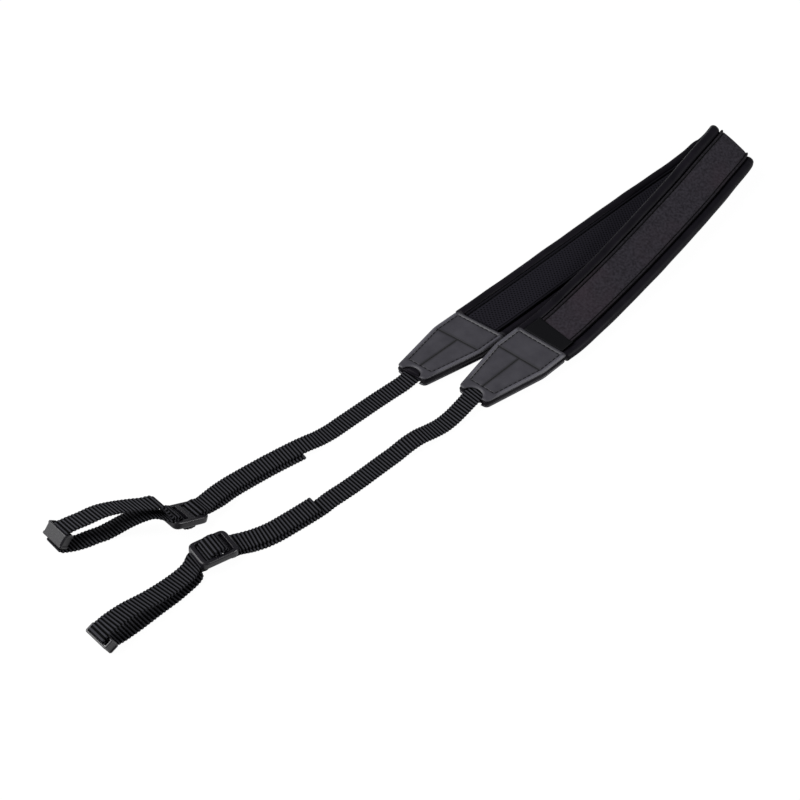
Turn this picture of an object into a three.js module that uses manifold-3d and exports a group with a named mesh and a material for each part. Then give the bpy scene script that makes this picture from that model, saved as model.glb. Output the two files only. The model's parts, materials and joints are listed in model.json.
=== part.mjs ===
// Camera neck strap, laid on a floor with its padded middle folded in half. Millimetres, +Z up,
// +X along the strap from the lug loops to the fold.
import * as THREE from 'three';
import { mergeVertices } from 'three/addons/utils/BufferGeometryUtils.js';
import Module from 'manifold-3d';

const wasm = await Module();
wasm.setup();

// Driving dimensions
const gap = 0.3;
const padWidth = 33;
const padEdge = { radius: 2.6, folded: 0.8, arcStep: 30, shoulderRun: 0.5, shoulderDrop: 0.4 };
const coreHalf = 0.9;
const foldRadius = 5.4;
const foldStep = 30;
const panel = { width: 20.8, thickness: 1.2, ridgeWidth: 1.3, ridgeHeight: 0.3, meshRound: 0.2 };
const leather = { thickness: 1, bevel: 0.25, skew: 9 };
const patch = {
  tipWidth: 17,
  topWidth: 30,
  taper: 34,
  length: 51,
  corner: 2.2,
  mouthWidth: 10,
  mouthDepth: 4,
};
const tongue = { outer: 2.1, inner: 1, start: 0.6, sideGap: 0.2, round: 0.9, ease: 0.3, lip: 0.6 };
const channel = { width: 10.8, floor: 0.4, length: 24, endRun: 0.2, sliver: 0.02 };
const webbing = { width: 10, thickness: 1.4, bevel: 0.4, tuck: 22, lift: 0.15 };
const layer = webbing.thickness + gap;
const triglide = {
  length: 20,
  width: 15.2,
  thickness: 4,
  corner: 3.6,
  bevel: 0.6,
  rail: 2,
  endBar: 2.7,
  centreBar: 2.4,
  bar: 1.6,
  windowCorner: 0.8,
};
const keeper = {
  width: 14,
  depth: 5.4,
  height: 7,
  wall: 1,
  corner: 0.7,
  bevel: 0.25,
  boreCorner: 0.2,
  lip: 1.3,
  waist: 0.4,
};
const labelSize = { width: 23, length: 10, thickness: 0.9 };

// Clearances of the webbing where it weaves through a slide, and how many rows trace it there
const weave = { barGap: 0.25, endGap: 0.1, crestGap: 0.2, rows: 13, slopeStep: 0.05 };

// Facets to each round, and frames to each row of a band
const facets = { patchCorner: 4, mouth: 12, slideCorner: 6, windowCorner: 2, ringCorner: 1, boreCorner: 1 };
const padSteps = 3;
const webbingSteps = 2;

// Point of the layout below that becomes the part's origin, under the middle of the strap
const origin = { x: 35.4, y: 5.03, z: 0.02 };

// Frame of one pad end: the tip, the point where the straight end meets the rest of the pad, how far its
// near edge leans down, and which way its outer face points.
const padEnds = {
  rear: { tip: { x: 13.6, y: 6, z: 3.45 }, inner: { x: 78, y: 4.8, z: 3.45 }, lean: 0, face: -1 },
  front: { tip: { x: 24.4, y: -26.6, z: 3.3 }, inner: { x: 88, y: -27.7, z: 6 }, lean: 4.6, face: 1 },
};

// Centre line of the pad between its straight ends. lean lowers the edge nearer -Y, turn swings it
// towards +X.
const rearHalf = [
  { x: 78, y: 4.8, z: 3.45, turn: 0, lean: 0 },
  { x: 110, y: 4.8, z: 3.05, turn: 0, lean: 0 },
  { x: 180, y: 4.8, z: 2.95, turn: 0, lean: 0 },
  { x: 222, y: 4.3, z: 2.95, turn: 0, lean: 0 },
  { x: 240, y: 3.8, z: 3, turn: 0, lean: 0 },
  { x: 251.5, y: 3.5, z: 3.9, turn: 0, lean: 1 },
  { x: 260.6, y: 3.5, z: 5.4, turn: -1, lean: 2 },
];
const frontHalf = [
  { x: 261.6, y: -5.2, z: 16.2, turn: 4, lean: 25 },
  { x: 239, y: -9.3, z: 15.1, turn: 9, lean: 21.5 },
  { x: 216, y: -13.3, z: 13.7, turn: 8, lean: 18 },
  { x: 192, y: -16.8, z: 12.2, turn: 7, lean: 14.7 },
  { x: 146, y: -22.6, z: 9.1, turn: 6, lean: 9.7 },
  { x: 112, y: -26, z: 7.2, turn: 4, lean: 6.8 },
  { x: 88, y: -27.7, z: 6, turn: 1, lean: 4.6 },
];

// Middle of each three-bar slide, level with its bars, and each ring. A slide's pitch lifts its loop end,
// bulge is how far the webbing stands off its centre bar, and slip is how far the tail lies beside the run
// that it doubles; a ring's pitch tips its top towards +X.
const slides = {
  front: { x: -129.6, y: -9.5, z: 5.6, turn: -9, lean: 0, pitch: 7, bulge: 1, slip: 1.8, flip: 1 },
  rear: { x: -127.1, y: 14.7, z: 7.2, turn: -2.4, lean: -6, pitch: 25, bulge: 0, slip: -2, flip: -1 },
};
const rings = {
  front: { x: -195, y: -11.4, z: 4.9, pitch: -20 },
  rear: { x: -174.6, y: 47.2, z: 6.3, pitch: 43.8 },
};

// Each strap in stretches: the single run from the pad, the run where the tail doubles it, and the lug loop
// from the slide out to the ring and back.
const floorLayer = 0.8;
const straps = {
  front: {
    single: [
      { x: 16, y: -27.5, z: 3.6, turn: -1 },
      { x: 8, y: -27.9, z: 2.3, turn: -2 },
      { x: 1, y: -27.7, z: 1.8, turn: -4 },
      { x: -6, y: -27, z: 2.5, turn: -7 },
      { x: -13, y: -26, z: 3.4, turn: -8 },
      { x: -20, y: -25.1, z: 2.8, turn: -7 },
      { x: -28, y: -24.4, z: 1.2, turn: -4 },
      { x: -34, y: -24, z: floorLayer, turn: -2 },
      { x: -56, y: -23.6, z: floorLayer, turn: -2 },
      { x: -70, y: -22.7, z: floorLayer, turn: -5 },
    ],
    doubled: [
      { x: -75, y: -22.8, z: floorLayer, turn: -6 },
      { x: -90, y: -21.3, z: floorLayer, turn: -7 },
      { x: -103, y: -19.4, z: floorLayer, turn: -13 },
      { x: -111, y: -16.8, z: floorLayer, turn: -18 },
    ],
    loop: [
      { x: -141.8, y: -11, z: 2, turn: 1 },
      { x: -154, y: -12.5, z: floorLayer, turn: 5 },
      { x: -166, y: -12.6, z: floorLayer, turn: 1 },
      { x: -180, y: -12.7, z: floorLayer, turn: -1 },
      { x: -189.5, y: -12.1, z: floorLayer, turn: 0 },
      { x: -193.4, y: -11.45, z: 1.5, turn: 0 },
      { x: -194.6, y: -11.4, z: 2.9, turn: 0 },
      { x: -195.4, y: -11.4, z: 4.9, turn: 0 },
      { x: -196.3, y: -11.4, z: 7.4, turn: 0 },
      { x: -196.3, y: -11.35, z: 9.2, turn: 0 },
      { x: -194.4, y: -11.2, z: 10.35, turn: 0 },
      { x: -189, y: -10.8, z: 10.5, turn: 5 },
      { x: -180, y: -10.6, z: 9.5, turn: 7 },
      { x: -166, y: -11.6, z: 7.4, turn: 8 },
      { x: -152, y: -11.2, z: 5.4, turn: 6 },
      { x: -145, y: -10.3, z: 5, turn: 0 },
    ],
  },
  rear: {
    single: [
      { x: 8, y: 6, z: 1.6, turn: -5 },
      { x: 0, y: 6.9, z: 0.9, turn: -5 },
      { x: -10, y: 7.5, z: floorLayer, turn: -2 },
      { x: -30, y: 8.2, z: floorLayer, turn: -2 },
      { x: -40, y: 8.5, z: 0.9, turn: -4 },
      { x: -48, y: 9, z: 1.8, turn: -7 },
      { x: -53, y: 9.7, z: 2.6, turn: -9 },
    ],
    doubled: [
      { x: -58, y: 11, z: floorLayer + layer, turn: -9 },
      { x: -76, y: 14.2, z: floorLayer + layer, turn: -8 },
      { x: -90, y: 15.7, z: 3, turn: -5 },
      { x: -100, y: 16, z: 4, turn: -3 },
      { x: -108, y: 15.2, z: 5.3, turn: -3 },
    ],
    loop: [
      { x: -136.5, y: 19.8, z: 20.2, turn: 0 },
      { x: -140.5, y: 22.6, z: 20.3, turn: 2 },
      { x: -145.9, y: 28, z: 19.2, turn: 3 },
      { x: -150.7, y: 33.3, z: 17.2, turn: 3 },
      { x: -156.3, y: 38.2, z: 15, turn: 3 },
      { x: -163.7, y: 42.5, z: 12, turn: 3 },
      { x: -168.8, y: 45.4, z: 10.2, turn: 2 },
      { x: -172.2, y: 47, z: 8.8, turn: 0 },
      { x: -174.6, y: 47.2, z: 6.3, turn: 0 },
      { x: -177, y: 47.1, z: 3.8, turn: 0 },
      { x: -178.1, y: 46.8, z: 2.2, turn: -2 },
      { x: -177.2, y: 46, z: 1.2, turn: -2 },
      { x: -173.4, y: 43.4, z: floorLayer, turn: -1 },
      { x: -168, y: 40.7, z: floorLayer, turn: 0 },
      { x: -162, y: 38.8, z: floorLayer, turn: 0 },
      { x: -157.4, y: 37, z: 1, turn: 0 },
      { x: -153.2, y: 35, z: 2.6, turn: 0 },
      { x: -148.1, y: 31.3, z: 6.5, turn: 0 },
      { x: -143.3, y: 26.8, z: 10.5, turn: 0 },
      { x: -139.8, y: 22.9, z: 12.8, turn: 0 },
    ],
  },
};

const materials = {
  neoprene: new THREE.MeshStandardMaterial({ color: 0x232226, roughness: 0.8, metalness: 0 }),
  panelCloth: new THREE.MeshStandardMaterial({ color: 0x2b2a2e, roughness: 0.9, metalness: 0 }),
  spacerMesh: new THREE.MeshStandardMaterial({ color: 0x2a292c, roughness: 0.95, metalness: 0 }),
  grainLeather: new THREE.MeshStandardMaterial({ color: 0x3a393e, roughness: 0.6, metalness: 0 }),
  wovenLabel: new THREE.MeshStandardMaterial({ color: 0x121214, roughness: 0.8, metalness: 0 }),
  ribbedWebbing: new THREE.MeshStandardMaterial({ color: 0x1b1b1d, roughness: 0.85, metalness: 0 }),
  mouldedPlastic: new THREE.MeshStandardMaterial({ color: 0x3a3a40, roughness: 0.5, metalness: 0 }),
};

const up = new THREE.Vector3(0, 0, 1);
const { lerp, degToRad, radToDeg, clamp, smoothstep } = THREE.MathUtils;
const vec = ({ x, y, z }) => new THREE.Vector3(x, y, z);
const skewSlope = Math.tan(degToRad(leather.skew));

// Direction across a band: -Y, swung towards +X by turn and tipped down by lean.
function acrossBand(turn, lean) {
  const [swing, dip] = [degToRad(turn), degToRad(lean)];
  const level = Math.cos(dip);
  return new THREE.Vector3(Math.sin(swing) * level, -Math.cos(swing) * level, -Math.sin(dip));
}

// A frame at a point of a band: face is the outer face's normal. The cloth shears where along and across
// aren't square.
function bandFrame(point, along, turn, lean) {
  const across = acrossBand(turn, lean);
  return { point, across, face: along.clone().cross(across).normalize() };
}

// Frames along a smooth curve through the rows, with stepsPerRow of them to each row.
function framesThrough(rows, stepsPerRow) {
  const curve = new THREE.CatmullRomCurve3(rows.map(vec), false, 'centripetal');
  const last = rows.length - 1;
  const frames = [];
  for (let step = 0; step <= last * stepsPerRow; step += 1) {
    const place = step / stepsPerRow;
    const from = Math.min(Math.floor(place), last - 1);
    const turn = lerp(rows[from].turn, rows[from + 1].turn, place - from);
    const lean = lerp(rows[from].lean ?? 0, rows[from + 1].lean ?? 0, place - from);
    const plump = lerp(rows[from].plump ?? 1, rows[from + 1].plump ?? 1, place - from);
    const along = curve.getTangent(place / last);
    frames.push({ ...bandFrame(curve.getPoint(place / last), along, turn, lean), plump });
  }
  return frames;
}

// Triangles that close a section, listed as [across, face] points.
const capOf = (section) =>
  THREE.ShapeUtils.triangulateShape(section.map(([a, f]) => new THREE.Vector2(a, f)), []);

// A closed solid through one section per frame; a section runs anticlockwise seen from ahead.
function loft(frames, sectionAt) {
  const positions = [];
  const index = [];
  const sections = frames.map(sectionAt);
  const count = sections[0].length;
  frames.forEach(({ point, across, face }, ring) => {
    for (const [a, f] of sections[ring]) {
      const corner = point.clone().addScaledVector(across, a).addScaledVector(face, f);
      positions.push(corner.x, corner.y, corner.z);
    }
  });
  for (let ring = 0; ring + 1 < frames.length; ring += 1) {
    for (let side = 0; side < count; side += 1) {
      const next = (side + 1) % count;
      const [a, b] = [ring * count + side, ring * count + next];
      index.push(a, b, b + count, a, b + count, a + count);
    }
  }
  const end = (frames.length - 1) * count;
  for (const [i, j, k] of capOf(sections[0])) index.push(k, j, i);
  for (const [i, j, k] of capOf(sections.at(-1))) index.push(end + i, end + j, end + k);
  const geometry = new THREE.BufferGeometry();
  geometry.setAttribute('position', new THREE.Float32BufferAttribute(positions, 3));
  geometry.setIndex(index);
  return geometry;
}

// Both halves of a symmetric section from the points of its +across side, listed from the inner face round
// the edge to the outer face, with a point on each face's middle line.
const mirrored = (half) => [
  [0, half[0][1]],
  ...half,
  [0, half.at(-1)[1]],
  ...half.map(([a, f]) => [-a, f]).reverse(),
];

// Pad ends, which are sewn a little out of square
function endFrame({ tip, inner, lean, face }) {
  const inward = vec(inner).sub(vec(tip)).normalize();
  const turn = radToDeg(Math.atan2(inward.y, inward.x)) + leather.skew;
  return { ...bandFrame(vec(tip), inward.clone().multiplyScalar(-face), turn, lean), inward };
}
const ends = { rear: endFrame(padEnds.rear), front: endFrame(padEnds.front) };

// A point of a pad end: so far in from the tip, and so far out from the middle of the pad's thickness.
const onEnd = (end, inset, out) =>
  end.point.clone().addScaledVector(end.inward, inset).addScaledVector(end.face, out);

const patchHalfWidth = (inset) =>
  lerp(patch.tipWidth, patch.topWidth, clamp(inset / patch.taper, 0, 1)) / 2;

// Section of the pad, whose round edges are pulled flatter where plump is less than 1
function padSection(plump = 1) {
  const edge = padWidth / 2 - padEdge.radius;
  const rise = padEdge.radius * plump;
  const recess = panel.width / 2 + gap;
  const shoulder = { across: recess + padEdge.shoulderRun, out: rise - padEdge.shoulderDrop };
  const arc = [];
  for (let angle = -90; angle <= 90; angle += padEdge.arcStep) {
    const turned = degToRad(angle);
    arc.push([edge + padEdge.radius * Math.cos(turned), rise * Math.sin(turned)]);
  }
  return mirrored([
    [recess, -coreHalf],
    [shoulder.across, -shoulder.out],
    ...arc,
    [shoulder.across, shoulder.out],
    [recess, coreHalf],
  ]);
}

// Section of a tongue, with the webbing's channel in its outer face while the channel lasts.
function tongueSection(inset) {
  const side = patchHalfWidth(inset) - tongue.sideGap;
  const wall = channel.width / 2;
  const floor = inset < channel.length ? channel.floor : tongue.outer - channel.sliver;
  return mirrored([
    [wall, -tongue.inner],
    [wall + tongue.lip, -tongue.inner],
    [side - tongue.round, -tongue.inner],
    [side - tongue.ease, tongue.ease - tongue.inner],
    [side, tongue.round - tongue.inner],
    [side, (tongue.outer - tongue.inner) / 2],
    [side, tongue.outer - tongue.round],
    [side - tongue.ease, tongue.outer - tongue.ease],
    [side - tongue.round, tongue.outer],
    [wall + channel.sliver, tongue.outer],
    [wall, floor],
  ]);
}

// Rows round the fold, between the last row of the rear half and the first of the front half
const fold = [];
for (let angle = foldStep - 90; angle < 90; angle += foldStep) {
  const [from, to] = [rearHalf.at(-1), frontHalf[0]];
  const share = (angle + 90) / 180;
  const turned = degToRad(angle);
  fold.push({
    x: lerp(from.x, to.x, share) + foldRadius * Math.cos(turned),
    y: lerp(from.y, to.y, share),
    z: from.z + foldRadius * (1 + Math.sin(turned)),
    turn: lerp(from.turn, to.turn, share),
    lean: lerp(from.lean, to.lean, share),
    plump: padEdge.folded,
  });
}
const middle = framesThrough([...rearHalf, ...fold, ...frontHalf], padSteps);

const frameOnEnd = (end, inset) => ({ ...end, point: onEnd(end, inset, 0), inset });
const bodyStart = patch.length + gap;
const tongueInsets = [
  tongue.start,
  channel.length - channel.endRun,
  channel.length,
  patch.taper,
  patch.length,
];

function padCore() {
  const rear = tongueInsets.map((inset) => frameOnEnd(ends.rear, inset));
  const front = tongueInsets.map((inset) => frameOnEnd(ends.front, inset)).reverse();
  const body = [frameOnEnd(ends.rear, bodyStart), ...middle, frameOnEnd(ends.front, bodyStart)];
  return loft([...rear, ...body, ...front], ({ inset, plump }) =>
    inset < bodyStart ? tongueSection(inset) : padSection(plump));
}

// A cloth panel let into the outer face, or into the inner one where side is -1.
function clothPanel(side, half) {
  const start = bodyStart + gap;
  const frames = [frameOnEnd(ends.rear, start), ...middle, frameOnEnd(ends.front, start)];
  const outward = mirrored(half);
  const section = side > 0 ? outward : outward.map(([a, f]) => [a, -f]).reverse();
  return loft(frames, () => section);
}

const panelEdge = panel.width / 2;
const panelFloor = coreHalf + gap;
const panelTop = panelFloor + panel.thickness;
const outerPanelHalf = [
  [panelEdge, panelFloor],
  [panelEdge, panelTop],
  [panelEdge - panel.ridgeWidth / 2, panelTop + panel.ridgeHeight],
  [panelEdge - panel.ridgeWidth, panelTop],
];
const meshPanelHalf = [
  [panelEdge, panelFloor],
  [panelEdge, panelTop - panel.meshRound],
  [panelEdge - panel.ridgeWidth, panelTop],
];

const point = ([x, y]) => new THREE.Vector2(x, y);

// Outline through the corners, each rounded off from radius before it to radius after it.
function roundedOutline(corners, radius) {
  const outline = new THREE.Shape();
  corners.forEach((corner, i) => {
    const here = point(corner);
    const towards = (other) => here.clone().add(point(other).sub(here).setLength(radius));
    const before = towards(corners.at(i - 1));
    const after = towards(corners[(i + 1) % corners.length]);
    if (i === 0) outline.moveTo(before.x, before.y);
    else outline.lineTo(before.x, before.y);
    outline.quadraticCurveTo(here.x, here.y, after.x, after.y);
  });
  outline.closePath();
  return outline;
}

function roundedRectangle(length, width, radius) {
  const [l, w] = [length / 2, width / 2];
  return roundedOutline([[-l, -w], [l, -w], [l, w], [-l, w]], radius);
}

function toSolid(geometry) {
  const bare = geometry.clone();
  bare.deleteAttribute('normal');
  bare.deleteAttribute('uv');
  const merged = mergeVertices(bare);
  const vertProperties = new Float32Array(merged.attributes.position.array);
  const triVerts = new Uint32Array(merged.index.array);
  return new wasm.Manifold(new wasm.Mesh({ numProp: 3, vertProperties, triVerts }));
}

function toGeometry(solid) {
  const mesh = solid.getMesh();
  const geometry = new THREE.BufferGeometry();
  geometry.setAttribute('position', new THREE.Float32BufferAttribute(mesh.vertProperties, 3));
  geometry.setIndex([...mesh.triVerts]);
  return geometry;
}

// A prism of an outline, its depth centred on the outline's plane, with bevelled rims.
function prism(outline, depth, bevel, curveSegments) {
  return new THREE.ExtrudeGeometry(outline, {
    depth: depth - 2 * bevel,
    curveSegments,
    bevelEnabled: bevel > 0,
    bevelSize: bevel,
    bevelThickness: bevel,
    bevelOffset: -bevel,
    bevelSegments: 1,
  }).translate(0, 0, bevel - depth / 2);
}

// A cut right through a piece that is depth thick.
const throughCut = (outline, depth, curveSegments) => toSolid(prism(outline, 2 * depth, 0, curveSegments));

// Leather end: a six-sided plate with round corners and an arched mouth at the tip, out of square by the
// skew, towards the side that a positive slant names.
function patchPlate(slant) {
  const [tip, top] = [patch.tipWidth / 2, patch.topWidth / 2];
  const nearSide = [[0, -tip], [patch.taper, -top], [patch.length, -top]];
  const farSide = nearSide.map(([inset, across]) => [inset, -across]).reverse();
  const hexagon = roundedOutline([...nearSide, ...farSide], patch.corner);
  const mouth = new THREE.Shape();
  mouth.absellipse(0, 0, patch.mouthDepth, patch.mouthWidth / 2, 0, 2 * Math.PI);
  const plate = toSolid(prism(hexagon, leather.thickness, leather.bevel, facets.patchCorner));
  const square = toGeometry(plate.subtract(throughCut(mouth, leather.thickness, facets.mouth)));
  return square.applyMatrix4(new THREE.Matrix4().makeShear(0, 0, slant * skewSlope, 0, 0, 0));
}

// Label: a plate whose one end follows the leather's slanted edge.
function labelPlate() {
  const { width, length, thickness } = labelSize;
  const half = width / 2;
  const slip = half * skewSlope;
  const outline = new THREE.Shape([[slip, -half], [length, -half], [length, half], [-slip, half]].map(point));
  return prism(outline, thickness, 0, 1);
}

// Three-bar slide: a rounded frame whose end bars clear the webbing below and whose centre bar clears it
// above.
function slideFrame() {
  const { length, width, thickness, corner, bevel, rail, endBar, centreBar, bar, windowCorner } = triglide;
  const window = { length: length - 2 * endBar, width: width - 2 * rail };
  const outline = roundedRectangle(length, width, corner);
  const outer = toSolid(prism(outline, thickness, bevel, facets.slideCorner));
  const windowOutline = roundedRectangle(window.length, window.width, windowCorner);
  const opening = throughCut(windowOutline, thickness, facets.windowCorner);
  const relief = new THREE.BoxGeometry(2 * length, window.width, thickness);
  const under = toSolid(relief.translate(0, 0, -(thickness + bar) / 2));
  const barDepth = (thickness + bar) / 2;
  const centre = new THREE.BoxGeometry(centreBar, window.width + rail, barDepth);
  const across = toSolid(centre.translate(0, 0, (bar - barDepth) / 2));
  return toGeometry(outer.subtract(opening).subtract(under).add(across));
}

// Ring at a loop's tip: a square-cornered sleeve that the webbing passes down through, with a lip round
// each mouth where its sides stand proud of its waist.
function ringSleeve() {
  const { width, depth, height, wall, corner, bevel, boreCorner, lip, waist } = keeper;
  const band = (across, tall) =>
    prism(roundedRectangle(depth, across, corner), tall, bevel, facets.ringCorner);
  const rise = (height - lip) / 2;
  const sleeve = toSolid(band(width - 2 * waist, height))
    .add(toSolid(band(width, lip).translate(0, 0, rise)))
    .add(toSolid(band(width, lip).translate(0, 0, -rise)));
  const bore = roundedRectangle(depth - 2 * wall, width - 2 * wall, boreCorner);
  return toGeometry(sleeve.subtract(throughCut(bore, height, facets.boreCorner)));
}

// Straps
function webbingSection() {
  const [half, thick] = [webbing.width / 2, webbing.thickness / 2];
  return mirrored([
    [half - webbing.bevel, -thick],
    [half, 0],
    [half - webbing.bevel, thick],
  ]);
}

// Directions of a slide: heading runs from the pad to the loop, rise is square to its bars.
function slideAxes({ turn, lean, pitch }) {
  const across = acrossBand(turn, lean);
  const heading = across.clone().cross(up).normalize().applyAxisAngle(across, -degToRad(pitch));
  return { heading, rise: heading.clone().cross(across) };
}

// One layer's way through a slide, listed from the pad side to the loop side. The pair of layers passes one
// side of the end bars and the other side of the centre bar; offset is this layer's height in the pair.
function throughSlide(slide, offset) {
  const { length, endBar, centreBar, bar } = triglide;
  const clear = bar / 2 + layer - gap / 2 + weave.barGap;
  const reach = length / 2 - endBar - weave.endGap;
  const crest = centreBar / 2 + weave.crestGap;
  const height = (run) => {
    const share = smoothstep(reach - Math.abs(run), 0, reach - crest);
    return slide.flip * (clear * (2 * share - 1) + slide.bulge * share);
  };
  const { heading, rise } = slideAxes(slide);
  const rows = [];
  for (let i = 0; i <= weave.rows; i += 1) {
    const run = length * (0.5 - i / weave.rows);
    const climb = height(run + weave.slopeStep) - height(run - weave.slopeStep);
    const slope = Math.atan2(climb, 2 * weave.slopeStep);
    const { x, y, z } = vec(slide)
      .addScaledVector(heading, offset * Math.sin(slope) - run)
      .addScaledVector(rise, height(run) + offset * Math.cos(slope));
    rows.push({ x, y, z, turn: slide.turn, lean: slide.lean });
  }
  return rows;
}

function strapBand(name) {
  const { single, doubled, loop } = straps[name];
  const slide = slides[name];
  const bed = (channel.floor + tongue.outer) / 2 + webbing.lift;
  const tucked = [webbing.tuck, webbing.tuck / 2, 0].map((inset) => {
    const { x, y, z } = onEnd(ends[name], inset, bed);
    return { x, y, z, turn: 0, lean: padEnds[name].lean };
  });
  const outbound = throughSlide(slide, (-slide.flip * layer) / 2);
  const inbound = throughSlide(slide, (slide.flip * layer) / 2).reverse();
  const beside = (row) => ({ ...row, y: row.y + slide.slip, z: row.z + slide.flip * layer });
  const tail = doubled.map(beside).reverse();
  const rows = [...tucked, ...single, ...doubled, ...outbound, ...loop, ...inbound, ...tail];
  const section = webbingSection();
  return loft(framesThrough(rows, webbingSteps), () => section);
}

// Assembly
const strap = new THREE.Group();

function addPiece(name, geometry, material) {
  const mesh = new THREE.Mesh(geometry, material);
  mesh.name = name;
  strap.add(mesh);
  return mesh;
}

// Turns a piece so that its X lies along heading and its Z along face.
function aim(mesh, heading, face) {
  const side = face.clone().cross(heading);
  mesh.quaternion.setFromRotationMatrix(new THREE.Matrix4().makeBasis(heading, side, face));
}

// Lays a flat piece on a pad end, its X inward from the tip.
function placeOnEnd(mesh, end, inset, out) {
  aim(mesh, end.inward, end.face);
  mesh.position.copy(onEnd(end, inset, out));
}

addPiece('pad_core', padCore(), materials.neoprene);
addPiece('outer_panel', clothPanel(1, outerPanelHalf), materials.panelCloth);
addPiece('mesh_panel', clothPanel(-1, meshPanelHalf), materials.spacerMesh);

for (const name of ['front', 'rear']) {
  const leatherOut = gap + leather.thickness / 2;
  const slant = -padEnds[name].face;
  const outerLeather = addPiece(`${name}_patch_outer`, patchPlate(slant), materials.grainLeather);
  placeOnEnd(outerLeather, ends[name], 0, tongue.outer + leatherOut);
  const innerLeather = addPiece(`${name}_patch_inner`, patchPlate(slant), materials.grainLeather);
  placeOnEnd(innerLeather, ends[name], 0, -tongue.inner - leatherOut);

  addPiece(`${name}_webbing`, strapBand(name), materials.ribbedWebbing);

  const slide = slides[name];
  const slideMesh = addPiece(`${name}_triglide`, slideFrame(), materials.mouldedPlastic);
  const { heading, rise } = slideAxes(slide);
  aim(slideMesh, heading, rise.multiplyScalar(slide.flip));
  slideMesh.position.copy(vec(slide));

  const ring = rings[name];
  const ringMesh = addPiece(`${name}_keeper`, ringSleeve(), materials.mouldedPlastic);
  ringMesh.rotation.y = degToRad(ring.pitch);
  ringMesh.position.copy(vec(ring));
}

const label = addPiece('label', labelPlate(), materials.wovenLabel);
const labelOut = panelTop + panel.ridgeHeight + gap + labelSize.thickness / 2;
placeOnEnd(label, ends.front, bodyStart, labelOut);

strap.position.copy(vec(origin)).negate();

export default strap;
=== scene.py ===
import json
import math
import random

import bpy
import numpy as np
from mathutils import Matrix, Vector
from mathutils.geometry import delaunay_2d_cdt

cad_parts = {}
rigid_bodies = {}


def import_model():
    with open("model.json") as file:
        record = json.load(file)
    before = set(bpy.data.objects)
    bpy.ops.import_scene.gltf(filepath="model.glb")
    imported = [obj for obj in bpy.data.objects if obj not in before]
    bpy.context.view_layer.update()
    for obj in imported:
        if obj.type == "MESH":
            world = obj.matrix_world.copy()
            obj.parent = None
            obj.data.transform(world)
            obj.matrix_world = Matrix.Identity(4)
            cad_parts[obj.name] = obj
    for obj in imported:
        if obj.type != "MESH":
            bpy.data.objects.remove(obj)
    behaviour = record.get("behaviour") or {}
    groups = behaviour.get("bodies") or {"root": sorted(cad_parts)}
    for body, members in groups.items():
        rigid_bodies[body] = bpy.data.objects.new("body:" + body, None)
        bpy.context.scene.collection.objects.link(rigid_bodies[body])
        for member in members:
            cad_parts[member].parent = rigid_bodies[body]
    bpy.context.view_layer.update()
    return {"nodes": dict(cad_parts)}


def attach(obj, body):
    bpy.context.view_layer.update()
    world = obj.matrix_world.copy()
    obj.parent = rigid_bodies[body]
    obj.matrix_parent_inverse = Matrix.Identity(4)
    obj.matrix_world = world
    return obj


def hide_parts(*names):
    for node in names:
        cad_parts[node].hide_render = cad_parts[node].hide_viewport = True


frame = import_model()
print("frame loaded,", len(frame["nodes"]), "solids")

# Lengths below are millimetres in the strap's layout; the frame's origin is this layout point
layoutOrigin = np.array((35.4, 5.03, 0.02))
mm = 0.001


def toFrame(points):
    return (np.asarray(points) - layoutOrigin) * mm


# Camera: above the straps' end, looking along the layout's diagonal

viewpoint = {"target": (0, 0, 0), "from": (-0.4813, -0.4813, 0.7325), "away": 800, "lens": 72, "sensor": 36,
             "near": 0.01}


def addCamera(view):
    camera = bpy.data.cameras.new("camera")
    camera.lens = view["lens"]
    camera.sensor_width = view["sensor"]
    camera.clip_start = view["near"]
    holder = bpy.data.objects.new("camera", camera)
    bpy.context.collection.objects.link(holder)
    back = Vector(view["from"]).normalized()
    holder.location = Vector(toFrame(view["target"])) + back * view["away"] * mm
    holder.rotation_euler = back.to_track_quat("Z", "Y").to_euler()
    bpy.context.scene.camera = holder


addCamera(viewpoint)
print("camera placed")


# Material helpers

def linear(hexColour):
    channels = [int(hexColour[i:i + 2], 16) / 255 for i in (1, 3, 5)]
    return [c / 12.92 if c <= 0.04045 else ((c + 0.055) / 1.055) ** 2.4 for c in channels] + [1.0]


def perMetre(size):
    return 1 / (size * mm)    # texture scale whose repeat is size millimetres


def setSockets(tree, node, inputs):
    for socket, value in inputs.items():
        if isinstance(value, bpy.types.NodeSocket):
            tree.links.new(value, node.inputs[socket])
        else:
            node.inputs[socket].default_value = value


def addNode(tree, kind, inputs=None, stops=None, **settings):
    made = tree.nodes.new("ShaderNode" + kind)
    for name, value in settings.items():
        setattr(made, name, value)
    setSockets(tree, made, inputs or {})
    for i, (place, colour) in enumerate(stops or []):
        stop = made.color_ramp.elements[i] if i < 2 else made.color_ramp.elements.new(place)
        stop.position = place
        stop.color = linear(colour)
    return made


def newFinish(name, **sockets):
    material = bpy.data.materials.new(name)
    material.use_nodes = True
    tree = material.node_tree
    shader = tree.nodes["Principled BSDF"]
    for socket, value in sockets.items():
        shader.inputs[socket.replace("_", " ")].default_value = value
    return material, tree, shader


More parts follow.
